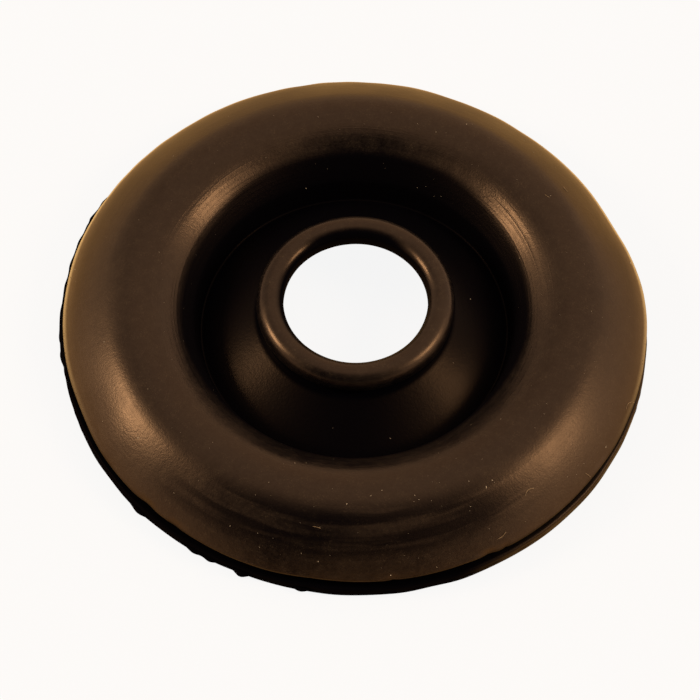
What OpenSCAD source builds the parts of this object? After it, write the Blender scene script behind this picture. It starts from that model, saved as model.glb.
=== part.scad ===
// Moulded rubber grommet for a round hole in sheet metal. One piece, a body of revolution about Z.
// A broad domed rim covers the edge of the hole, a slot under it takes the sheet, and a thin lip
// holds on the far side. Inside the rim a bowl drops to a thin cone, which rises again to a round
// bead about the bore, where a cable or pipe goes through. Millimetres, with the lip's flat on z = 0.

/* [Slot for the sheet] */
// Diameter of the slot's floor, which is the hole in the sheet
hole_d = 53; // [48:0.5:60]
// Width of the slot, which is the thickness of the sheet that it takes
slot_w = 1; // [0.6:0.1:2]

/* [Rim] */
// Reach of the rim past the slot's floor
rim_reach = 4; // [3.4:0.1:5]
// Thickness of the rim's edge
rim_edge_t = 0.3; // [0.2:0.05:0.6]
// Height of the dome above the rim's edge
dome_h = 5; // [4.2:0.1:5.8]
// Distance of the dome's highest circle inside the slot's floor
crest_in = 3.7; // [3.2:0.1:4.2]
// Radius of the dome's rounded crown
crown_r = 6.3; // [5.6:0.1:6.8]
// Slope at which the crown passes into the longer curve of the outer flank, in degrees
flank_slope = 30; // [24:1:34]

/* [Lip] */
// Reach of the lip past the slot's floor
lip_reach = 4; // [3:0.1:5]
// Thickness of the lip
lip_t = 1.4; // [1:0.1:2]
// Bevel round both edges of the lip
lip_bevel = 0.3; // [0.1:0.05:0.4]

/* [Bowl] */
// Height of the ring at the bottom of the bowl above the lip's flat
bowl_floor_z = 0.8; // [0.7:0.05:1.2]
// Lean of the bowl's wall away from upright, in degrees
wall_draft = 14; // [8:1:20]
// Radius of the small fillet along the ring
ring_fillet = 0.4; // [0.2:0.05:0.6]

/* [Cone] */
// Thickness of the cone's wall
cone_t = 1; // [0.8:0.05:1.2]

/* [Bead and bore] */
// Diameter of the bore
bore_d = 15; // [13:0.1:16]
// Length of the straight land at the narrowest place of the bore
bore_land = 0.9; // [0.6:0.05:1.2]
// Diameter of the bead's round section
bead_t = 2.9; // [2.4:0.1:3.2]
// Height of the bead's middle above the lip's flat
bead_z = 6.2; // [5.6:0.1:7]

/* [Hidden] */
$fn = 90;

// Rubber black with a brown cast
RUBBER = [0.13, 0.11, 0.09];
// Widest turn between two points of an arc of the section, in degrees
ARC_STEP = 6;

// Points along an arc of the section from angle a to angle b, with both ends
function arc(c, r, a, b) =
    let (n = ceil(abs(b - a) / ARC_STEP))
    [for (i = [0:n]) c + r * [cos(a + (b - a) * i / n), sin(a + (b - a) * i / n)]];

// Radii of the slot's floor and the lip
floor_r = hole_d / 2;
lip_r = floor_r + lip_reach;

// Heights, from the lip's flat upwards
slot_top_z = lip_t + slot_w;
rim_edge_z = slot_top_z + rim_edge_t;
crest_z = rim_edge_z + dome_h;

// The flank's arc leaves the crown without a crease and ends on the rim's edge, which fixes its radius
crown_c = [floor_r - crest_in, crest_z - crown_r];
flank_dir = [sin(flank_slope), cos(flank_slope)];
edge_v = [floor_r + rim_reach, rim_edge_z] - crown_c;
flank_r = (edge_v * edge_v - 2 * crown_r * (edge_v * flank_dir) + crown_r * crown_r)
    / (2 * (crown_r - edge_v * flank_dir));
flank_c = crown_c + (crown_r - flank_r) * flank_dir;
edge_out = crown_c + edge_v - flank_c;
edge_turn = atan2(edge_out[1], edge_out[0]);

// The bowl's wall touches the crown and leans inwards down to the ring
wall_turn = 180 - wall_draft;
wall_p = crown_c + crown_r * [cos(wall_turn), sin(wall_turn)];
ring_p = [wall_p[0] - (wall_p[1] - bowl_floor_z) * tan(wall_draft), bowl_floor_z];

// The bore cuts the bead's section on a chord as long as the land
bore_r = bore_d / 2;
bead_r = bead_t / 2;
land_turn = asin(bore_land / bead_t);
bead_c = [bore_r + bead_r * cos(land_turn), bead_z];

// The cone's wall joins the bead's underside between these two directions from the bead's middle
NECK_OUT = -70;
NECK_IN = -115;
neck_p = bead_c + bead_r * [cos(NECK_OUT), sin(NECK_OUT)];
cone_slope = atan2(neck_p[1] - ring_p[1], ring_p[0] - neck_p[0]);
cone_under = neck_p - cone_t * [sin(cone_slope), cos(cone_slope)];
cone_foot_r = cone_under[0] + cone_under[1] / tan(cone_slope);

// From the ring, the wall rises in one of these directions and the cone in the other
wall_up = 90 - wall_draft;
cone_up = 180 - cone_slope;
// The fillet along the ring touches both, so its middle lies on the line halfway between them
half_gap = (cone_up - wall_up) / 2;
fillet_c = ring_p + ring_fillet / sin(half_gap) * [cos(wall_up + half_gap), sin(wall_up + half_gap)];

// Lip, slot and edge of the rim, from the lip's flat upwards
function outer_edge() = [
    [lip_r - lip_bevel, 0],
    [lip_r, lip_bevel],
    [lip_r, lip_t - lip_bevel],
    [lip_r - lip_bevel, lip_t],
    [floor_r, lip_t],
    [floor_r, slot_top_z],
    [floor_r + rim_reach, slot_top_z]
];
// Dome, from the rim's edge over the crown to the top of the bowl's wall
function dome() = concat(
    arc(flank_c, flank_r, edge_turn, 90 - flank_slope),
    arc(crown_c, crown_r, 90 - flank_slope, wall_turn)
);
// Fillet between the bowl's wall and the cone
function ring() = arc(fillet_c, ring_fillet, wall_up + 270, cone_up + 90);
// Bead, from the cone's upper face over the top and down the bore
function bead() = concat(
    arc(bead_c, bead_r, NECK_OUT, 180 - land_turn),
    arc(bead_c, bead_r, 180 + land_turn, 360 + NECK_IN)
);
// Hollow under the cone, from the bead down to the lip's flat
function underside() = [cone_under, [cone_foot_r, 0]];

module grommet() {
    color(RUBBER)
    rotate_extrude()
    polygon(concat(outer_edge(), dome(), ring(), bead(), underside()));
}

grommet();
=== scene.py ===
"""Moulded rubber grommet on a plain white floor, seen from above and in front.

The CAD solid gives the grommet its size. The rubber shown here is the same section turned about
the same axis, with the edges, flash, nicks and dust of a real moulding. The scene is in metres.
Sizes of the moulding are in millimetres, and become metres when its meshes are made.
"""
import math

import bpy
import numpy as np
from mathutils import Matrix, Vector


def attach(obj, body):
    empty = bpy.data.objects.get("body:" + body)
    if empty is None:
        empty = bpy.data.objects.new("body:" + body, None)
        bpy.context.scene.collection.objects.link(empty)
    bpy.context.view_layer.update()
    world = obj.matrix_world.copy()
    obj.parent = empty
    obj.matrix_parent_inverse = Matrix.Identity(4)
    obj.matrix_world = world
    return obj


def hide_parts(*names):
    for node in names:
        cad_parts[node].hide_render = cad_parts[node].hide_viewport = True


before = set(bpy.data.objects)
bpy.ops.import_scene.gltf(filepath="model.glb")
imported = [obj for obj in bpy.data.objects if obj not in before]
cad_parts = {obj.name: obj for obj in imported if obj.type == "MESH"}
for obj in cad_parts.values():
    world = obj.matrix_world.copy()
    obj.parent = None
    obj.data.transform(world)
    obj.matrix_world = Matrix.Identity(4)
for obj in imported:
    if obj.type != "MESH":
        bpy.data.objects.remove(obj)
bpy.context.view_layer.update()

MM = 0.001
TURN = 2 * math.pi

# Sizes of the section, in millimetres and degrees. They are the CAD's, but for the crown, the
# shoulder and the fillet in the bowl, which follow the photograph's highlights.
FLOOR_R = 26.5                  # floor of the slot for the sheet
SLOT_W = 1.0
RIM_REACH = 4.0
RIM_EDGE_T = 0.3
DOME_H = 5.0
CREST_IN = 3.7                  # from the slot's floor in to the dome's highest circle
CROWN_OUT_R = 6.0               # outer side of the crown
FLANK_SLOPE = 33.0              # where the crown passes into the flank
LIP_REACH = 4.0
LIP_T = 1.4
BOWL_FLOOR_Z = 0.8
RING_R = 16.16                  # ring at the bottom of the bowl
RING_FILLET = 0.2
CONE_T = 1.0
BORE_R = 7.5
BORE_LAND = 0.9
BEAD_R = 1.45                   # round section of the bead
BEAD_Z = 6.2
NECK_OUT = -70.0                # the cone's wall joins the bead between these two directions
NECK_IN = -115.0
# Shoulder, from the crest down into the bowl: radius of each arc, and the slope at its end
SHOULDER = ((5.2, 35.0), (12.0, 43.0), (0.8, 51.0), (40.0, 54.5), (1.5, 76.0))

# Small rounding of the moulding's sharp edges
EDGE_ROUND = 0.12
LIP_ROUND = 0.28
FOOT_ROUND = 0.2

# Radii and heights that follow from them
RIM_R = FLOOR_R + RIM_REACH
LIP_R = FLOOR_R + LIP_REACH
SLOT_TOP = LIP_T + SLOT_W
EDGE_Z = SLOT_TOP + RIM_EDGE_T
CREST_Z = EDGE_Z + DOME_H
CREST_R = FLOOR_R - CREST_IN
BEAD_OUT_R = BORE_R + 2 * BEAD_R

# Points along each arc of the section, and the longest stretch without a point
FOOT_POINTS = 4
LIP_POINTS = 7
SLOT_POINTS = 3
EDGE_POINTS = 4
FLANK_POINTS = 30
CROWN_POINTS = 20
SHOULDER_FEWEST = 4
SHOULDER_SPACING = 12           # degrees times millimetres
RING_POINTS = 6
BEAD_POINTS = 30
BORE_POINTS = 8
LONGEST = 0.9

# Steps round the axis, for the rubber and for its flash
TURNS = 480
FLASH_TURNS = 2400

# How far the real edges lie outside the true circle: degrees from the right by the back, offset
RIM_DRIFT = (
    (0, 0.12), (7, 0.12), (12, 0.12), (17, -0.46), (24, -0.64), (36, -0.68), (48, -0.74),
    (60, -0.66), (75, -0.36), (90, -0.16), (105, -0.12), (120, -0.12), (132, -0.18), (139, 0.0),
    (150, 0.04), (164, 0.12), (180, 0.03), (190, -0.15), (200, -0.33), (215, -0.18), (235, -0.24),
    (250, -0.07), (270, -0.03), (290, 0.1), (305, 0.18), (320, 0.1), (340, 0.02))
LIP_DRIFT = (
    (0, 0.15), (12, -0.1), (24, -0.85), (48, -0.85), (75, -0.4), (100, 0.0), (150, 0.25),
    (180, 0.3), (200, 0.12), (246, 0.14), (254, 0.08), (264, 0.32), (300, 0.42), (318, 0.42),
    (335, 0.22), (350, 0.16))
DRIFT_SOFT = 6                  # degrees either side over which the offsets are evened out
DRIFT_SAMPLES = 7
BEAD_ASIDE = 0.13               # how far the bead stands to the right of the rim's middle

# Notches in the rim's edge, lobes of the lip's flash: degrees, width in degrees, depth or height
NICKS = ((226, 2.0, 0.16), (233, 1.2, 0.07), (277.5, 0.7, 0.1), (296.5, 1.3, 0.16), (300, 0.6, 0.1),
         (262, 0.5, 0.05))
NICK_UP = 0.6                   # how far up and in from the edge the notches reach
NICK_IN = 0.7
LIP_LOBES = ((224.5, 2.3, 0.34), (238.3, 1.8, 0.36), (241.8, 1.6, 0.34), (248.2, 1.7, 0.58),
             (260, 1.6, 0.38), (277, 1.3, 0.16), (292, 1.4, 0.1), (309, 1.5, 0.05))

# Flash along the lip. Where it is torn on the left: degrees, height
LIP_TORN = (
    (144.3, 0.0), (145.2, 0.5), (149, 0.56), (154, 0.74), (155, 0.6), (158, 0.56), (160.5, 0.58),
    (164.5, 0.6), (166.5, 0.38), (174, 0.3), (180, 0.28), (187.5, 0.16), (188.8, 0.0))
FLASH_Z = 0.7                   # height of the flash's middle
FLASH_T = 0.16
FLASH_SUNK = 0.4                # how deep its root is in the lip
FLASH_ROOT = 0.05               # how far inside the lip's edge it starts to show
FLASH_TIP = 0.3                 # share of the thickness that is left at the tip
FLASH_LOW = 0.05
FLASH_LEAST = 0.02

# Unevenness: size, then fewest and most waves in a turn, seed, and how fast the waves fall off
RIM_UNEVEN = (0.03, (3, 24, 11, 0.5))
EDGE_UNEVEN = (0.025, (5, 60, 12, 0.4))
LIP_UNEVEN = (0.03, (4, 50, 13, 0.4))
CREST_UNEVEN = (0.02, (2, 6, 14, 1.0))
FLASH_UNEVEN = (0.04, (15, 110, 21, 0.4))
TORN_UNEVEN = (0.05, (30, 80, 22, 0.5))
FLASH_CLIP = (-1, 2)            # the flash's waves are cut off outside these
TORN_CLIP = (-1.5, 1.5)

# Dust specks that stand out in the photograph: radius, degrees, size
SPECKS = (
    (25.7, -59, 0.16), (29.9, -31, 0.15), (24.5, -62, 0.1), (25.4, -57, 0.12), (24.1, -75.4, 0.09),
    (29.4, -40, 0.1), (29.0, -42, 0.1), (18.5, -50, 0.08), (30.2, -74, 0.1), (26.6, -64, 0.08),
    (26.3, -169, 0.14), (27.2, -144, 0.15), (28.5, -130, 0.1), (23.8, -152, 0.07),
    (29.1, -153, 0.08), (29.3, -97, 0.11), (30.2, -83, 0.14), (28.4, -116, 0.1),
    (23.5, -85.9, 0.11), (23.0, -83, 0.09), (24.3, -91.7, 0.1), (24.6, -74.7, 0.08),
    (29.1, -109, 0.08), (16.8, 108, 0.12), (17.1, 67, 0.08), (12.3, 11, 0.1), (18.3, 19, 0.12),
    (20.3, -107, 0.08), (19.8, -104, 0.08), (14.2, -75, 0.09), (11.6, -29, 0.07),
    (13.1, -100, 0.06), (20.7, -44, 0.08), (26.4, 137, 0.1), (27.2, 120, 0.08), (24.1, 111, 0.07),
    (24.7, 61, 0.1), (22.1, 67, 0.08), (27.4, 45, 0.08), (24.1, 31, 0.11), (30.0, 13, 0.14),
    (29.9, 169, 0.14), (22.6, 100, 0.07))
SPECK_SEED = 32
# Fine dust, strewn over the dome and thicker round FINE_MOST degrees, which is the front right
FINE_COUNT = 450
FINE_R = (17, 30)
FINE_SIZE = (0.03, 0.06)
FINE_MOST = 310
FINE_SPREAD = 55
FINE_THIN = 0.25                # share that is left of it elsewhere
FINE_OUTER = (21, 25)
FINE_PLACES_SEED = 31
FINE_SEED = 33
# Shape of a grain: range of each corner's reach, and of its half sizes along and off the skin
GRAIN_LUMPS = (0.7, 1.25)
GRAIN_STRETCH = ((0.9, 1.7), (0.6, 1.0), (0.4, 0.8))
GRAIN_LIFT = 0.35

# Lint: radius, degrees, heading from the tangent in degrees, length, bend in radians, thickness
LINT = (
    (27.7, -51, -6, 1.35, 1.7, 0.055), (29.7, -60, -12, 1.15, -0.7, 0.05),
    (30.0, -20, 20, 1.6, 1.4, 0.045), (30.1, -38, 70, 0.6, 0.9, 0.045),
    (26.6, 32, -14, 0.85, 1.0, 0.05), (23.7, 31.3, -22, 0.6, 0.6, 0.04),
    (26.6, -98, 5, 0.9, 0.5, 0.045))
LINT_ROWS = 16
LINT_SIDES = 6
LINT_LIFT = 0.35                # in thicknesses: all along, and more at the loose end
LINT_LOOSE = 1.2
LINT_TAPER = 6                  # the higher, the shorter the taper
LINT_TIP = 0.02

# Reading the skin: where it starts above the rim's edge, and half the step its slope is taken over
SKIN_START = 0.1
SKIN_STEP = 0.05

# Fine grooves in the moulding: radius in millimetres, degrees, spread in degrees, depth
GROOVES = ((19.2, 22, 17, 0.5), (19.55, 24, 20, 0.7), (20.4, 139, 14, 0.15), (19.4, 140, 16, 0.2),
           (18.9, 2, 14, 0.5), (18.3, -2, 12, 0.5))
GROOVE_HALF = 0.11
GROOVE_FULL = 1 / 3             # share of the spread over which a groove has its full depth

# Photograph: 700 pixels square, and where its camera stands
PHOTO_PX = 700
ELEVATION = 59.1
CAMERA_DISTANCE = 359 * MM
RIM_PX = 291.5                  # radius of the rim in pixels, seen face on
CENTRE_PX = (354.3, 320.0)      # where the middle of the rim's edge plane falls
SENSOR = 36
CLIP = (0.01, 20)

# Colours, linear
RUBBER_DARK = (0.0020, 0.0018, 0.0032)
RUBBER_DUSTY = (0.0125, 0.0100, 0.0090)
RUBBER_GLOSS = (1.0, 0.66, 0.42)
# dust with painted sheen on the rim's edge, and a painted highlight line along it
EDGE_DUST_AND_SHEEN = (0.18, 0.125, 0.066)
EDGE_GLINT = (1.0, 0.80, 0.42)
POWDER = (0.032, 0.024, 0.016)
DUST = (0.55, 0.46, 0.34)
LINT_TAN = (0.36, 0.25, 0.14)

# Surface of the rubber
RUBBER_IOR = 1.62
ROUGH = 0.22
DULL_ROUGH = 0.33
# sheen left where the bowl and the wiped front have painted shade
SHADED_GLOSS = 0.09
BUMP = 0.027 * MM
DUST_ROUGH = 0.8
LINT_ROUGH = 0.7

# Noise of its layers: cells in a metre, and detail
GRAIN = (5500.0, 3.0)
PITS = (900.0, 3.0)
SMEARS = (110.0, 5.0)
MOTTLE = (2600.0, 2.0)
PATCHES = (160.0, 2.0)
POWDERY = (6500.0, 1.0)
# The same for marks drawn out along circles: cells in a metre outwards, cells round it, detail
TOOL_MARKS = (5200.0, 1.5, 2.0)
WIPE_SHADE_MARKS = (900.0, 1.6, 3.0)

# What each layer adds to the roughness, to the film of dust and to the height of the bump
ROUGHER = {"smeared": 0.12, "pitted": 0.06, "streak": 0.03, "mottle": 0.06, "marks": -0.05,
           "bead": -0.04, "outer": 0.02}
FILM = {"smeared": 0.3, "pitted": 0.3, "mottle": 0.4}
HIGHER = {"grain": 0.4, "pitted": 0.15, "mottle": 0.45, "marks": 0.4}
STREAK_HEIGHT = 0.04
STREAK_HEIGHT_INNER = 0.14      # added on the bowl's shoulder
BEAD_SMOOTHER = 0.6
# Wiped streaks at the front, partly painted shade: they lose dust film and sheen
WIPED_SHADED_CLEAN = 0.85              # share of the film that is wiped off
WIPED_SHADED_DULL = 0.75

# Smooth steps by which the layers are picked out of the noise: from and to
SMEAR_ROUGH = (0.3, 0.7)
SMEAR_FILM = (0.35, 0.75)
PIT_FILM = (0.35, 0.75)
MOTTLE_FILM = (0.35, 0.65)
MARK_STEP = (0.55, 0.75)
PATCH_STEP = (0.4, 0.6)
STREAK_STEP = (0.35, 0.7)
WIPE_SHADE_STEP = (0.38, 0.56)
POWDER_STEP = (0.58, 0.7)
POWDER_PITS = (0.4, 0.65)

# Zones of the finish, as smooth steps in metres: out from the axis (R), up (Z), to the right (X),
# to the back (Y) and to the front (FRONT). Two pairs are a rise and a fall.
INNER_R = ((0.0165, 0.0185), (0.0205, 0.0222))
INNER_Z = (0.002, 0.004)
OUTER_R = (0.023, 0.025)
BEAD_END_R = (0.0102, 0.0106)
BEAD_START_Z = (0.0048, 0.0058)
# wiped streaks on the front flank, partly painted shade
WIPED_SHADED_R = ((0.0235, 0.0260), (0.0278, 0.0294))
WIPED_SHADED_FRONT = (0.0185, 0.0245)

# Pale dust and painted sheen on the rim's edge, all round but the front: a band, a haze above it,
# and a thin painted highlight line
DUST_SHEEN_Y = (-0.017, 0.014)
DUST_SHEEN_Z = (0.0021, 0.0024)
BAND_R = (0.0265, 0.0290)
BAND_Z = (0.0025, 0.0052)
HAZE_R = (0.0240, 0.0280)
HAZE = 0.06
PATCHY = (0.8, 0.6)             # how much the pits vary it, and what it has without them
LINE_R = (0.0280, 0.0290)
LINE_Z = (0.00275, 0.0033)
LINE = 0.8

# Painted shade inside the bowl: darker rubber with less sheen. Its border is further in at the
# front and further out at the back.
BOWL_R = (0.0178, 0.0187)
BOWL_FRONT = (0.003, 0.014)
BOWL_FRONT_IN = 0.0010
BOWL_Y = (0.010, 0.016)
BOWL_BACK_OUT = 0.0007

# Painted shade: places where hardly any light gets in, and the share of matt black painted there
LIP_START_R = (0.0220, 0.0240)
LIP_END_Z = (0.0024, 0.0029)
LIP_SHADE = 0.985
# less painted shade on the lip's right side, which is lit
LIP_LIT = 0.6                   # taken off on the lip's right side, below LIP_LIT_Z
LIP_LIT_X = (0.010, 0.020)
LIP_LIT_Z = (0.0013, 0.0016)
BORE_END_R = (0.0076, 0.0083)
BORE_Y = (0.0056, 0.0072)
BORE_BACK_OUT = 0.0003
BORE_SHADE = 0.97
NECK_END_R = (0.0102, 0.0107)
NECK_END_Z = (0.0050, 0.0058)
NECK_SHADE = 0.95
TROUGH_R = ((0.0140, 0.0152), (0.0168, 0.0176))
TROUGH_END_Z = (0.0010, 0.0018)
TROUGH_SHADE = 0.6

# Lamps: azimuth from the right towards the back, elevation and spread in degrees, and radiance
LAMP = (1.0, 0.75, 0.50)
LAMP_DISTANCE = 0.9
LAMP_LEFT = (178, 30, 15, 19.5)
LAMP_RIGHT = (350, 36, 15, 14.0)

# Room, by the direction looked in: x to the right, y to the back, z up, each from -1 to 1
SKY = (1.0, 0.78, 0.62)
SKY_LEVEL = 0.72
LEFT_SHADE = 0.36               # how much dimmer it is at the left
LEFT_STEP = (0.0, 0.5)
DARK_TOWARDS = (265, 37)        # azimuth and elevation of the dark part
DARK_EDGE = (0.6, 0.88)         # cosines of the angles over which it starts
LOW_TOP = 0.34                  # height up to which the low light reaches
LOW_LEVEL = 0.2
LOW_SIDES = 0.62                # added at the left and right
SIDE_STEP = (0.1, 0.9)
LOW_SKY = (1.0, 0.67, 0.42)     # colour low down and at the back
BACK_STEP = (0.5, 0.95)

# Floor
CLOTH = (0.95, 0.88, 0.75)
CLOTH_GLOW = (0.85, 0.46, 0.14)
FLOOR_SEEN = (1.0, 1.0, 1.0)
FLOOR_GLOW = 0.9                # share of glow in what the camera and the rubber see of it
FLOOR_HALF = 3.0
FLOOR_DROP = 0.02 * MM


def polar(angle):
    """Unit vector at an angle in degrees."""
    a = np.radians(angle)
    return np.array([np.cos(a), np.sin(a)]).T


def unit(vector):
    """The vector or vectors, each brought to length 1."""
    return vector / np.linalg.norm(vector, axis=-1, keepdims=True)


def arc(centre, radius, start, end, count):
    """Points centre + radius (cos t, sin t), with t going evenly from start to end degrees."""
    return np.asarray(centre) + radius * polar(np.linspace(start, end, count))


def filled(outline, longest):
    """The closed outline with points added evenly on every stretch longer than the given length."""
    after = np.roll(outline, -1, 0)
    length = np.linalg.norm(after - outline, axis=1)
    parts = np.maximum(np.ceil(length / longest).astype(int), 1)
    which = np.repeat(np.arange(len(outline)), parts)
    share = (np.arange(which.size) - np.repeat(np.cumsum(parts) - parts, parts)) / parts[which]
    return outline[which] + share[:, None] * (after - outline)[which]


def rounded(before, corner, after, radius, count):
    """Arc that touches both sides of a corner. Its middle is on the line that halves the corner."""
    before, corner, after = (np.asarray(p, float) for p in (before, corner, after))
    u, v = unit(before - corner), unit(after - corner)
    half = 0.5 * math.acos(np.clip(u @ v, -1, 1))
    middle = corner + unit(u + v) * radius / math.sin(half)
    first = corner + u * radius / math.tan(half) - middle
    last = corner + v * radius / math.tan(half) - middle
    t = np.linspace(0, 1, count)[:, None]
    spread = math.acos(np.clip(first @ last / radius**2, -1, 1))
    turned_to = np.sin((1 - t) * spread) * first + np.sin(t * spread) * last
    return middle + turned_to / math.sin(spread)


def shoulder():
    """Arcs from the crest down into the bowl, each going on smoothly from the one before."""
    arcs, top, lean = [], np.array([CREST_R, CREST_Z]), 0.0
    for radius, slope in SHOULDER:
        middle = top - radius * polar(90 + lean)
        count = max(SHOULDER_FEWEST, round(radius * (slope - lean) / SHOULDER_SPACING))
        bend = arc(middle, radius, 90 + lean, 90 + slope, count)
        arcs.append(bend[:-1])
        top, lean = bend[-1], slope
    return arcs, top


def section():
    """Closed outline of the moulding in (radius, height), counter-clockwise, in millimetres.

    Lip and slot are straight stretches with rounded corners. The dome is a run of arcs that meet
    without a crease: from the rim's edge the flank's long one, the crown's outer side, whose top is
    at (CREST_R, CREST_Z), and the shoulder's. A straight wall leads down to the ring and a straight
    cone up to the bead, whose section is a circle cut off by the land of the bore.
    """
    crown = np.array([CREST_R, CREST_Z - CROWN_OUT_R])
    out = polar(90 - FLANK_SLOPE)
    reach = np.array([RIM_R, EDGE_Z]) - crown
    chord = reach @ reach - 2 * CROWN_OUT_R * reach @ out + CROWN_OUT_R**2
    flank_r = chord / (2 * (CROWN_OUT_R - reach @ out))
    flank = crown + (CROWN_OUT_R - flank_r) * out
    edge = np.array([RIM_R, EDGE_Z]) - flank
    edge_turn = math.degrees(math.atan2(edge[1], edge[0]))
    round_turn = math.degrees(EDGE_ROUND / flank_r)
    flank_start = flank + flank_r * polar(edge_turn + round_turn)

    shoulder_arcs, wall_top = shoulder()
    ring = np.array([RING_R, BOWL_FLOOR_Z])

    land = math.degrees(math.asin(BORE_LAND / (2 * BEAD_R)))
    bead = np.array([BORE_R + BEAD_R * math.cos(math.radians(land)), BEAD_Z])
    neck = bead + BEAD_R * polar(NECK_OUT)
    slope = math.atan2(neck[1] - ring[1], ring[0] - neck[0])
    under = neck - CONE_T * np.array([math.sin(slope), math.cos(slope)])
    foot = np.array([under[0] + under[1] / math.tan(slope), 0])
    neck_in = bead + BEAD_R * polar(NECK_IN)

    lip_low, lip_high = np.array([LIP_R, 0]), np.array([LIP_R, LIP_T])
    slot_low, slot_high = np.array([FLOOR_R, LIP_T]), np.array([FLOOR_R, SLOT_TOP])
    rim_low, rim_high = np.array([RIM_R, SLOT_TOP]), np.array([RIM_R, EDGE_Z])
    return filled(np.concatenate([
        rounded(under, foot, lip_low, FOOT_ROUND, FOOT_POINTS),
        rounded(foot, lip_low, lip_high, LIP_ROUND, LIP_POINTS),
        rounded(lip_low, lip_high, slot_low, LIP_ROUND, LIP_POINTS),
        rounded(lip_high, slot_low, slot_high, EDGE_ROUND, SLOT_POINTS),
        rounded(slot_low, slot_high, rim_low, EDGE_ROUND, SLOT_POINTS),
        rounded(slot_high, rim_low, rim_high, EDGE_ROUND, EDGE_POINTS),
        rounded(rim_low, rim_high, flank_start, EDGE_ROUND, EDGE_POINTS),
        arc(flank, flank_r, edge_turn + 2 * round_turn, 90 - FLANK_SLOPE, FLANK_POINTS)[:-1],
        arc(crown, CROWN_OUT_R, 90 - FLANK_SLOPE, 90, CROWN_POINTS)[:-1],
        *shoulder_arcs,
        rounded(wall_top, ring, neck, RING_FILLET, RING_POINTS),
        arc(bead, BEAD_R, NECK_OUT, 180 - land, BEAD_POINTS),
        arc(bead, BEAD_R, 180 + land, 360 + NECK_IN, BORE_POINTS),
        rounded(neck_in, under, foot, FOOT_ROUND, FOOT_POINTS),
    ]), LONGEST)


def step(value, low, high):
    """Smooth step from 0 at low to 1 at high."""
    t = np.clip((value - low) / (high - low), 0, 1)
    return t * t * (3 - 2 * t)


def wobble(turn, low, high, seed, fall):
    """Sum of waves round the circle: low to high of them in a turn, random phases, unit size."""
    rng = np.random.default_rng(seed)
    waves = np.arange(low, high + 1)
    size = rng.normal(size=waves.size) / waves**fall
    phase = rng.uniform(0, TURN, waves.size)
    size /= np.sqrt(np.sum(size**2) / 2)
    return np.cos(np.multiply.outer(turn, waves) + phase) @ size


def uneven(turn, size, waves):
    """Waves round the circle of the given size, from a row such as RIM_UNEVEN."""
    return size * wobble(turn, *waves)


def drift_sharp(turn, table):
    """Offset in millimetres at each turn, read from (degrees, offset) pairs."""
    at, offset = np.array(table, float).T
    return np.interp(np.degrees(turn) % 360, at, offset, period=360)


def drift(turn, table):
    """As drift_sharp, with the table's corners rounded."""
    spread = np.radians(np.linspace(-DRIFT_SOFT, DRIFT_SOFT, DRIFT_SAMPLES))
    return np.mean([drift_sharp(turn + d, table) for d in spread], 0)


def apart(turn, at):
    """Angle in degrees from a place to each turn, between -180 and 180."""
    return (np.degrees(turn) - at + 180) % 360 - 180


def bumps(turn, table):
    """Sum of rounded bumps, from (degrees, width in degrees, height in millimetres) rows."""
    at, width, height = np.array(table, float).T
    return np.exp(-(apart(turn[..., None], at) / width)**2) @ height


def moulded(r, turn, z):
    """Where a point of the true section lands on the real moulding, in millimetres: (x, y, z).

    The rim's edge follows RIM_DRIFT and NICKS, the lip follows LIP_DRIFT, and both are a little
    uneven. The bead stands BEAD_ASIDE to the right of the rim's middle.
    """
    below_slot = step(-z, -SLOT_TOP, -LIP_T)
    lip = below_slot * step(r, FLOOR_R, LIP_R)
    rim = step(r, CREST_R, RIM_R) * (1 - below_slot)
    edge = rim * step(-z, -EDGE_Z - NICK_UP, -EDGE_Z) * step(r, RIM_R - NICK_IN, RIM_R)
    r = r + rim * (drift(turn, RIM_DRIFT) + uneven(turn, *RIM_UNEVEN))
    r = r - edge * bumps(turn, NICKS)
    z = z + edge * uneven(turn, *EDGE_UNEVEN)
    r = r + lip * (drift(turn, LIP_DRIFT) + uneven(turn, *LIP_UNEVEN))
    z = z + uneven(turn, *CREST_UNEVEN) * step(z, EDGE_Z, CREST_Z)
    aside = BEAD_ASIDE * (1 - step(r, BEAD_OUT_R, RING_R))
    return np.stack([r * np.cos(turn) + aside, r * np.sin(turn), z], -1)


def mesh_piece(name, points, faces, material, smooth=True):
    """A piece from an array of vertices in metres and a list of faces, left at the origin."""
    mesh = bpy.data.meshes.new(name)
    mesh.from_pydata(points.tolist(), [], faces)
    mesh.polygons.foreach_set("use_smooth", np.full(len(mesh.polygons), smooth))
    mesh.materials.append(material)
    mesh.update()
    piece = bpy.data.objects.new(name, mesh)
    bpy.context.collection.objects.link(piece)
    return piece


def grid_faces(rows, columns):
    """Quads of a grid that closes on itself both ways. Point (i, j) is number i * columns + j."""
    i, j = np.meshgrid(np.arange(rows), np.arange(columns), indexing="ij")
    i2, j2 = (i + 1) % rows, (j + 1) % columns
    corners = [i * columns + j, i2 * columns + j, i2 * columns + j2, i * columns + j2]
    return np.stack(corners, -1).reshape(-1, 4).tolist()


def turned(outline, turns):
    """Points of an outline (turns, n, 2) or (n, 2) carried round Z, as moulded, one row a turn."""
    turn = np.linspace(0, TURN, turns, endpoint=False)[:, None]
    outline = np.broadcast_to(outline, (turns, *outline.shape[-2:]))
    turn = np.broadcast_to(turn, outline.shape[:2])
    return moulded(outline[..., 0], turn, outline[..., 1]).reshape(-1, 3) * MM


def rubber_body(material):
    """The section turned about Z: (r cos t, r sin t, z), with the drifts of the real moulding."""
    outline = section()
    faces = grid_faces(TURNS, len(outline))
    return mesh_piece("grommet_rubber", turned(outline, TURNS), faces, material)


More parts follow.
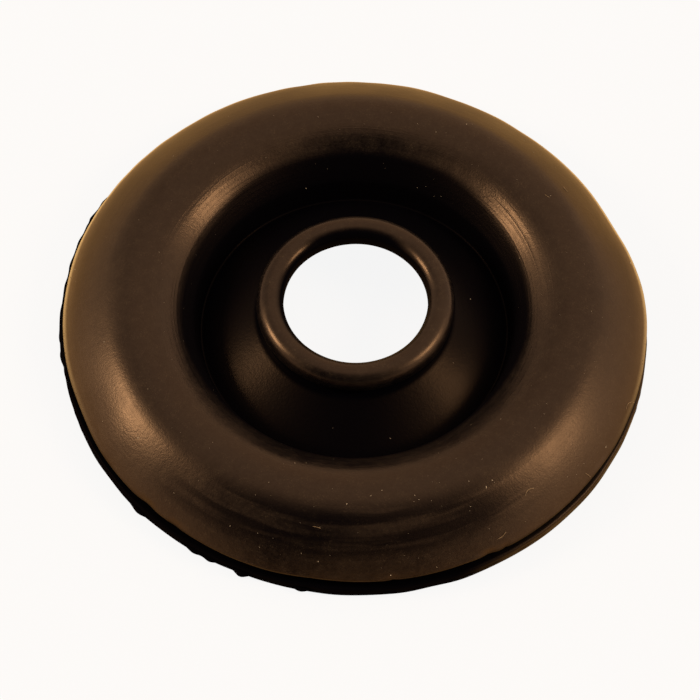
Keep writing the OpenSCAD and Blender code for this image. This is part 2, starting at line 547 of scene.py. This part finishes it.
def fin(name, root, height, reach, material):
    """A thin ring of flash, turned about Z: a wedge that goes from the radius root out by reach.

    Its middle is at one height, and reach has one value for each step round the axis.
    """
    thick = FLASH_T / 2
    tip = FLASH_TIP * thick
    shape = np.array([[-FLASH_SUNK, thick], [-FLASH_SUNK, -thick], [0, -thick],
                      [1, -tip], [1, tip], [0, thick]])
    out = np.where(shape[:, 0] < 0, shape[:, 0], shape[:, 0] * reach[:, None])
    outline = np.stack([root + out, height + np.broadcast_to(shape[:, 1], out.shape)], -1)
    faces = grid_faces(len(reach), len(shape))
    return mesh_piece(name, turned(outline, len(reach)), faces, material)


def flash(material):
    """Ragged flash along the lip's edge: low all round, with lobes, and torn high on the left."""
    turn = np.linspace(0, TURN, FLASH_TURNS, endpoint=False)
    size, waves = FLASH_UNEVEN
    low = FLASH_LOW + size * np.clip(wobble(turn, *waves), *FLASH_CLIP)
    size, waves = TORN_UNEVEN
    rough = size * np.clip(wobble(turn, *waves), *TORN_CLIP)
    reach = low + bumps(turn, LIP_LOBES) + drift_sharp(turn, LIP_TORN) * (1 + rough)
    reach = np.clip(reach, FLASH_LEAST, None)
    return fin("lip_flash", LIP_R - FLASH_ROOT, FLASH_Z, reach, material)


def skin(r):
    """Height and outward normal (in r, z) of the upper skin at radius r, from bowl and dome."""
    outline = section()
    last = np.argmin(np.hypot(*(outline - [BEAD_OUT_R, BEAD_Z]).T))
    first = np.argmin(np.hypot(*(outline - [RIM_R, EDGE_Z + SKIN_START]).T))
    top = outline[first:last]
    top = top[np.argsort(top[:, 0])]
    z, ahead, behind = (np.interp(r + d, *top.T) for d in (0, SKIN_STEP, -SKIN_STEP))
    slope = (ahead - behind) / (2 * SKIN_STEP)
    return z, unit(np.stack([-slope, np.ones_like(slope)], -1))


def seats(r, turn):
    """Places on the upper skin, their outward normals, and two directions along the skin."""
    z, n = skin(r)
    place = moulded(r, turn, z)
    out = np.stack([np.cos(turn), np.sin(turn), 0 * turn], -1)
    along = np.stack([-np.sin(turn), np.cos(turn), 0 * turn], -1)
    normal = n[:, :1] * out + n[:, 1:] * [0, 0, 1]
    return place, normal, along, np.cross(normal, along)


def grains(name, r, turn, size, seed, material):
    """Dust: each grain is an icosahedron, squeezed and turned at random and sunk into the skin."""
    rng = np.random.default_rng(seed)
    g = (1 + 5**0.5) / 2
    ball = np.array([[-1, g, 0], [1, g, 0], [-1, -g, 0], [1, -g, 0], [0, -1, g], [0, 1, g],
                     [0, -1, -g], [0, 1, -g], [g, 0, -1], [g, 0, 1], [-g, 0, -1], [-g, 0, 1]])
    ball = ball / math.hypot(1, g)
    sides = np.array([
        [0, 11, 5], [0, 5, 1], [0, 1, 7], [0, 7, 10], [0, 10, 11], [1, 5, 9], [5, 11, 4],
        [11, 10, 2], [10, 7, 6], [7, 1, 8], [3, 9, 4], [3, 4, 2], [3, 2, 6], [3, 6, 8],
        [3, 8, 9], [4, 9, 5], [2, 4, 11], [6, 2, 10], [8, 6, 7], [9, 8, 1]])
    place, normal, along, across = seats(r, turn)
    n = len(r)
    spin = rng.uniform(0, TURN, n)[:, None]
    u = np.cos(spin) * along + np.sin(spin) * across
    v = np.cross(normal, u)
    lump = ball * rng.uniform(*GRAIN_LUMPS, (n, len(ball), 1))
    half = size[:, None] / 2 * np.stack([rng.uniform(*span, n) for span in GRAIN_STRETCH], -1)
    lump = lump * half[:, None, :]
    middle = place + normal * half[:, 2:] * GRAIN_LIFT
    points = middle[:, None, :] + sum(
        lump[..., k:k + 1] * way[:, None] for k, way in enumerate((u, v, normal)))
    faces = (sides + len(ball) * np.arange(n)[:, None, None]).reshape(-1, 3)
    return mesh_piece(name, points.reshape(-1, 3) * MM, faces.tolist(), material, False)


def dust(material):
    """The specks that the photograph shows, and a finer sprinkle, thicker at the front right."""
    r, degrees, size = np.array(SPECKS, float).T
    specks = grains("dust_specks", r, np.radians(degrees), size, SPECK_SEED, material)

    rng = np.random.default_rng(FINE_PLACES_SEED)
    r = rng.uniform(*FINE_R, FINE_COUNT)
    turn = rng.uniform(0, TURN, FINE_COUNT)
    here = np.exp(-apart(turn, FINE_MOST)**2 / FINE_SPREAD**2) * step(r, *FINE_OUTER)
    keep = rng.uniform(0, 1, FINE_COUNT) < FINE_THIN + (1 - FINE_THIN) * here
    size = rng.uniform(*FINE_SIZE, keep.sum())
    return specks, grains("dust_fine", r[keep], turn[keep], size, FINE_SEED, material)


def fibre(name, r, degrees, heading, length, bend, thick, material):
    """Lint: a bent thread on the skin, a six-sided tube along an arc of at most bend radians.

    Its middle line is s -> (sin(bend s), 1 - cos(bend s)) / bend along the skin, times length, with
    s from -1/2 to 1/2, and it tapers to closed ends.
    """
    s = np.linspace(-0.5, 0.5, LINT_ROWS)
    u = length * np.sin(bend * s) / bend
    v = length * (1 - np.cos(bend * s)) / bend
    h = math.radians(heading)
    du, dv = u * math.cos(h) - v * math.sin(h), u * math.sin(h) + v * math.cos(h)
    place, normal, _, _ = seats(r + dv, math.radians(degrees) + du / r)
    lift = thick * (LINT_LIFT + LINT_LOOSE * (s + 0.5) ** 2)
    path = place + normal * lift[:, None]
    ahead = unit(np.gradient(path, axis=0))
    side = np.cross(normal, ahead)
    a = np.linspace(0, TURN, LINT_SIDES, endpoint=False)[None, :, None]
    width = thick / 2 * np.sqrt(np.clip(1 - (2 * s)**LINT_TAPER, LINT_TIP, 1))
    ring = np.cos(a) * side[:, None] + np.sin(a) * normal[:, None]
    points = path[:, None] + ring * width[:, None, None]
    i, j = np.meshgrid(np.arange(LINT_ROWS - 1), np.arange(LINT_SIDES), indexing="ij")
    here, j2 = i * LINT_SIDES, (j + 1) % LINT_SIDES
    corners = [here + j, here + j2, here + LINT_SIDES + j2, here + LINT_SIDES + j]
    first = list(range(LINT_SIDES))
    last = [(LINT_ROWS - 1) * LINT_SIDES + k for k in first]
    faces = np.stack(corners, -1).reshape(-1, 4).tolist() + [first[::-1], last]
    return mesh_piece(name, points.reshape(-1, 3) * MM, faces, material, False)


class Wire:
    """A shader socket that takes part in Python arithmetic. Each operation adds a Math node."""

    def __init__(self, paint, socket):
        self.paint = paint
        self.socket = socket

    def math(self, operation, first, *rest):
        return self.paint.node("ShaderNodeMath", {"operation": operation}, [first, *rest])

    def __add__(self, other):
        return self.math("ADD", self, other)

    def __sub__(self, other):
        return self.math("SUBTRACT", self, other)

    def __rsub__(self, other):
        return self.math("SUBTRACT", other, self)

    def __mul__(self, other):
        return self.math("MULTIPLY", self, other)

    def __truediv__(self, other):
        return self.math("DIVIDE", self, other)

    __radd__ = __add__
    __rmul__ = __mul__

    def sqrt(self):
        return self.math("SQRT", self)

    def abs(self):
        return self.math("ABSOLUTE", self)

    def ramp(self, low, high):
        """Smooth step from 0 at low to 1 at high."""
        return self.paint.node(
            "ShaderNodeMapRange", {"interpolation_type": "SMOOTHSTEP"}, [self, low, high, 0.0, 1.0])

    def before(self, low, high):
        """Smooth step from 1 at low to 0 at high."""
        return 1 - self.ramp(low, high)

    def between(self, rise, fall):
        """Smooth steps from 0 to 1 over the first pair and back to 0 over the second."""
        return self.ramp(*rise) * self.before(*fall)


class Paint:
    """A material's or world's node tree. node() adds any node and gives one output as a Wire."""

    def __init__(self, owner):
        self.owner = bpy.data.materials.new(owner) if isinstance(owner, str) else owner
        self.owner.use_nodes = True
        self.tree = self.owner.node_tree
        self.tree.nodes.clear()

    def node(self, kind, settings=None, inputs=(), output=0):
        made = self.tree.nodes.new(kind)
        for key, value in (settings or {}).items():
            setattr(made, key, value)
        pairs = inputs.items() if isinstance(inputs, dict) else enumerate(inputs)
        for key, value in pairs:
            if isinstance(value, Wire):
                self.tree.links.new(value.socket, made.inputs[key])
            else:
                made.inputs[key].default_value = value
        return Wire(self, made.outputs[output])

    def axes(self, vector):
        """The three parts of a vector."""
        return [self.node("ShaderNodeSeparateXYZ", {}, [vector], k) for k in range(3)]

    def noise(self, vector, scale, detail):
        """Cloud noise from 0 to 1, with scale cells to the vector's unit."""
        inputs = {"Vector": vector, "Scale": scale, "Detail": detail}
        return self.node("ShaderNodeTexNoise", {}, inputs, "Fac")

    def blend(self, share, first, second):
        """Colour between two, the first a colour or a Wire, by the share of the second."""
        first = first if isinstance(first, Wire) else (*first, 1)
        inputs = {"Factor": share, "A": first, "B": (*second, 1)}
        return self.node("ShaderNodeMix", {"data_type": "RGBA"}, inputs, 2)

    def finish(self, shader, kind="ShaderNodeOutputMaterial"):
        out = self.tree.nodes.new(kind)
        self.tree.links.new(shader.socket, out.inputs["Surface"])
        return self.owner


class Spot:
    """Where on the grommet a shaded point is: x, y, z and the distance from the axis, in metres."""

    def __init__(self, paint):
        self.paint = paint
        self.place = paint.node("ShaderNodeTexCoord", output="Object")
        self.x, self.y, self.z = paint.axes(self.place)
        self.radius = (self.x * self.x + self.y * self.y).sqrt()

    def noise(self, scale, detail):
        return self.paint.noise(self.place, scale, detail)

    def turned_noise(self, outwards, around, detail):
        """Noise drawn out along circles about the axis."""
        x, y, radius = self.x, self.y, self.radius
        ring = [radius * outwards, x / radius * around, y / radius * around]
        return self.paint.noise(self.paint.node("ShaderNodeCombineXYZ", {}, ring), 1.0, detail)

    def front(self, low, high):
        """Smooth step from 0 at low to 1 at high, in metres towards the front."""
        return (0.0 - self.y).ramp(low, high)


def weighed(total, weights, layers):
    """The total with each named layer added, times its weight."""
    for name, weight in weights.items():
        total = total + weight * layers[name]
    return total


def rubber_colour(p, at, film, pitted):
    """Dark rubber under a film of dust and powder; on the rim's edge dust, painted sheen and
    highlight.
    """
    tone = p.blend(film, RUBBER_DARK, RUBBER_DUSTY)
    # dust and painted sheen on the rim's edge, at the back and sides only
    rear = at.y.ramp(*DUST_SHEEN_Y)
    above = at.z.ramp(*DUST_SHEEN_Z)
    low = at.z.before(*BAND_Z) * above
    vary, least = PATCHY
    band = at.radius.ramp(*BAND_R) * low * low + at.radius.ramp(*HAZE_R) * HAZE
    tone = p.blend(band * rear * (pitted * vary + least), tone, EDGE_DUST_AND_SHEEN)
    # painted highlight line along the rim's edge
    line = at.radius.ramp(*LINE_R) * at.z.before(*LINE_Z) * rear * above * LINE
    tone = p.blend(line, tone, EDGE_GLINT)
    powder = at.noise(*POWDERY).ramp(*POWDER_STEP) * pitted.ramp(*POWDER_PITS)
    return p.blend(powder, tone, POWDER)


def grooved(at, height):
    """The height with the grooves cut in: each along a circle, fading out to both ends."""
    for radius, degrees, spread, depth in GROOVES:
        towards = polar(degrees)
        cosine = (at.x * float(towards[0]) + at.y * float(towards[1])) / at.radius
        ends = (math.cos(math.radians(spread * share)) for share in (1, GROOVE_FULL))
        across = (at.radius - radius * MM).abs().before(0.0, GROOVE_HALF * MM)
        height = height - across * cosine.ramp(*ends) * depth
    return height


def painted_shade(at):
    """Share of painted shade in matt black: 1 less the product of what lip, bore, neck and trough
    leave over.
    """
    lit = LIP_LIT * at.x.ramp(*LIP_LIT_X) * at.z.before(*LIP_LIT_Z)
    bore_r = at.radius - at.y.ramp(*BORE_Y) * BORE_BACK_OUT
    lip = at.z.before(*LIP_END_Z) * at.radius.ramp(*LIP_START_R) * (LIP_SHADE - lit)
    bore = bore_r.before(*BORE_END_R) * BORE_SHADE
    neck = at.radius.before(*NECK_END_R) * at.z.before(*NECK_END_Z) * NECK_SHADE
    trough = at.radius.between(*TROUGH_R) * at.z.before(*TROUGH_END_Z) * TROUGH_SHADE
    return 1 - (1 - lip) * (1 - bore) * (1 - neck) * (1 - trough)


def rubber_finish():
    """Satin black rubber with a brown cast: fine grain, turned tool marks, smears, a film of dust.

    Painted shade dulls it in the bowl and, with wiped streaks, at the front; black where no light
    gets in.
    """
    p = Paint("moulded_rubber")
    at = Spot(p)
    tooled = at.turned_noise(*TOOL_MARKS)
    grain, pitted, smear, mottle, patch = (
        at.noise(*layer) for layer in (GRAIN, PITS, SMEARS, MOTTLE, PATCHES))
    inner = at.radius.between(*INNER_R) * at.z.ramp(*INNER_Z)
    streak = tooled.ramp(*STREAK_STEP)
    bead = at.radius.before(*BEAD_END_R) * at.z.ramp(*BEAD_START_Z)
    wiped_shaded = at.radius.between(*WIPED_SHADED_R) * at.front(*WIPED_SHADED_FRONT)
    wiped_shaded = wiped_shaded * at.turned_noise(*WIPE_SHADE_MARKS).ramp(*WIPE_SHADE_STEP)
    layers = {
        "grain": grain, "pitted": pitted, "mottle": mottle, "streak": streak, "bead": bead,
        "smeared": smear.ramp(*SMEAR_ROUGH), "outer": at.radius.ramp(*OUTER_R),
        "marks": tooled.ramp(*MARK_STEP) * inner * patch.ramp(*PATCH_STEP)}

    film = weighed(0.0, FILM, {
        "smeared": smear.ramp(*SMEAR_FILM), "pitted": pitted.ramp(*PIT_FILM),
        "mottle": mottle.ramp(*MOTTLE_FILM)})
    height = weighed(streak * (STREAK_HEIGHT + STREAK_HEIGHT_INNER * inner), HIGHER, layers)
    height = grooved(at, height * (1 - BEAD_SMOOTHER * bead))
    bump = {"Strength": 1.0, "Distance": BUMP, "Height": height}
    look = {
        "Base Color": rubber_colour(p, at, film * (1 - WIPED_SHADED_CLEAN * wiped_shaded), pitted),
        "Roughness": weighed(ROUGH, ROUGHER, layers),
        "Normal": p.node("ShaderNodeBump", {}, bump),
        "IOR": RUBBER_IOR, "Specular Tint": (*RUBBER_GLOSS, 1)}
    polished = p.node("ShaderNodeBsdfPrincipled", {}, look)
    # rubber with painted shade: dark base, rougher, little sheen
    dull_shaded = p.node("ShaderNodeBsdfPrincipled", {}, {
        **look, "Base Color": (*RUBBER_DARK, 1), "Roughness": DULL_ROUGH,
        "Specular IOR Level": SHADED_GLOSS})
    # matt black painted as shade where no light gets in
    shade_black = p.node("ShaderNodeBsdfDiffuse", {}, {"Color": (*RUBBER_DARK, 1)})

    # share of painted shade: the bowl but for the bead, and the wiped streaks at the front
    border = at.radius + at.front(*BOWL_FRONT) * BOWL_FRONT_IN - at.y.ramp(*BOWL_Y) * BOWL_BACK_OUT
    bowl_shade = (1 - bead) * border.before(*BOWL_R) + wiped_shaded * WIPED_SHADED_DULL
    satin = p.node("ShaderNodeMixShader", {}, [bowl_shade, polished, dull_shaded])
    return p.finish(p.node("ShaderNodeMixShader", {}, [painted_shade(at), satin, shade_black]))


def plain_finish(name, colour, roughness):
    """One colour, one roughness."""
    p = Paint(name)
    inputs = {"Base Color": (*colour, 1), "Roughness": roughness}
    return p.finish(p.node("ShaderNodeBsdfPrincipled", {}, inputs))


def aim(thing, place, target):
    """Puts a lamp or camera at a place and points it at a target."""
    thing.location = place
    thing.rotation_euler = (Vector(target) - Vector(place)).to_track_quat("-Z", "Y").to_euler()


def direction(azimuth, elevation):
    """Unit vector: azimuth 0 is right, 90 the back; elevation above the floor, in degrees."""
    a, e = math.radians(azimuth), math.radians(elevation)
    return np.array([math.cos(a) * math.cos(e), math.sin(a) * math.cos(e), math.sin(e)])


def camera():
    """The photograph's view: back and down at ELEVATION, with the rim framed as in the photo."""
    middle = np.array([0, 0, EDGE_Z * MM])
    back = direction(-90, ELEVATION)
    up = direction(90, 90 - ELEVATION)
    px = RIM_R * MM / RIM_PX
    half = PHOTO_PX / 2
    right_of, above = half - CENTRE_PX[0], half - CENTRE_PX[1]
    target = middle + np.array([right_of, 0, 0]) * px - up * above * px
    data = bpy.data.cameras.new("camera")
    data.sensor_width = SENSOR
    data.lens = SENSOR * CAMERA_DISTANCE / (PHOTO_PX * px)
    data.clip_start, data.clip_end = CLIP
    cam = bpy.data.objects.new("camera", data)
    bpy.context.collection.objects.link(cam)
    aim(cam, middle + back * CAMERA_DISTANCE, target)
    bpy.context.scene.camera = cam


def softbox(name, azimuth, elevation, spread, radiance):
    """A square lamp that faces the grommet and looks spread degrees wide from it.

    Its power is the radiance times pi times its area.
    """
    size = 2 * LAMP_DISTANCE * math.tan(math.radians(spread / 2))
    data = bpy.data.lights.new(name, "AREA")
    data.shape = "SQUARE"
    data.size = size
    data.energy = radiance * math.pi * size**2
    data.color = LAMP
    lamp = bpy.data.objects.new(name, data)
    bpy.context.collection.objects.link(lamp)
    aim(lamp, direction(azimuth, elevation) * LAMP_DISTANCE, (0, 0, 0))


def surround():
    """Pale room: dimmer at the left, brighter low at the sides, dark where the camera stands."""
    world = bpy.data.worlds.new("surround")
    bpy.context.scene.world = world
    p = Paint(world)
    x, y, z = p.axes(p.node("ShaderNodeTexCoord", output="Generated"))
    dark = [float(part) for part in direction(*DARK_TOWARDS)]
    near = (x * dark[0] + y * dark[1] + z * dark[2]).ramp(*DARK_EDGE)
    low = z.before(0.0, LOW_TOP)
    light = (1 - near) * (1 - LEFT_SHADE * (0.0 - x).ramp(*LEFT_STEP)) * SKY_LEVEL
    light = light + low * (LOW_LEVEL + (x * x).ramp(*SIDE_STEP) * LOW_SIDES)
    warm = 1 - (1 - low) * y.before(*BACK_STEP)
    inputs = {"Color": p.blend(warm, SKY, LOW_SKY), "Strength": light}
    p.finish(p.node("ShaderNodeBackground", {}, inputs), "ShaderNodeOutputWorld")


def white_floor():
    """Floor that the camera sees as white with a faint shadow and the rubber mirrors as cloth."""
    p = Paint("white_floor")
    seen = p.node("ShaderNodeLightPath", output="Is Camera Ray")
    mirrored = p.node("ShaderNodeLightPath", output="Is Glossy Ray")
    cloth = p.node("ShaderNodeBsdfDiffuse", {}, {"Color": (*CLOTH, 1)})
    tone = p.blend(seen, CLOTH_GLOW, FLOOR_SEEN)
    glow = p.node("ShaderNodeEmission", {}, {"Color": tone, "Strength": 1.0})
    both = p.node("ShaderNodeMixShader", {}, [(seen + mirrored) * FLOOR_GLOW, cloth, glow])
    corners = FLOOR_HALF * np.array([[-1, -1, 0], [1, -1, 0], [1, 1, 0], [-1, 1, 0]])
    floor = mesh_piece("floor", corners, [[0, 1, 2, 3]], p.finish(both))
    floor.location.z = -FLOOR_DROP


def studio():
    """Two warm side lamps over a white floor in a pale room."""
    softbox("lamp_left", *LAMP_LEFT)
    softbox("lamp_right", *LAMP_RIGHT)
    surround()
    white_floor()


def main():
    camera()
    studio()
    rubber = rubber_finish()
    pale = plain_finish("pale_dust", DUST, DUST_ROUGH)
    tan = plain_finish("tan_lint", LINT_TAN, LINT_ROUGH)
    body = rubber_body(rubber)
    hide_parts("grommet")
    pieces = [body, flash(rubber), *dust(pale)]
    pieces += [fibre(f"lint_{k + 1}", *row, tan) for k, row in enumerate(LINT)]
    for piece in pieces:
        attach(piece, "root")


main()
bpy.context.scene.view_settings.view_transform = "Standard"
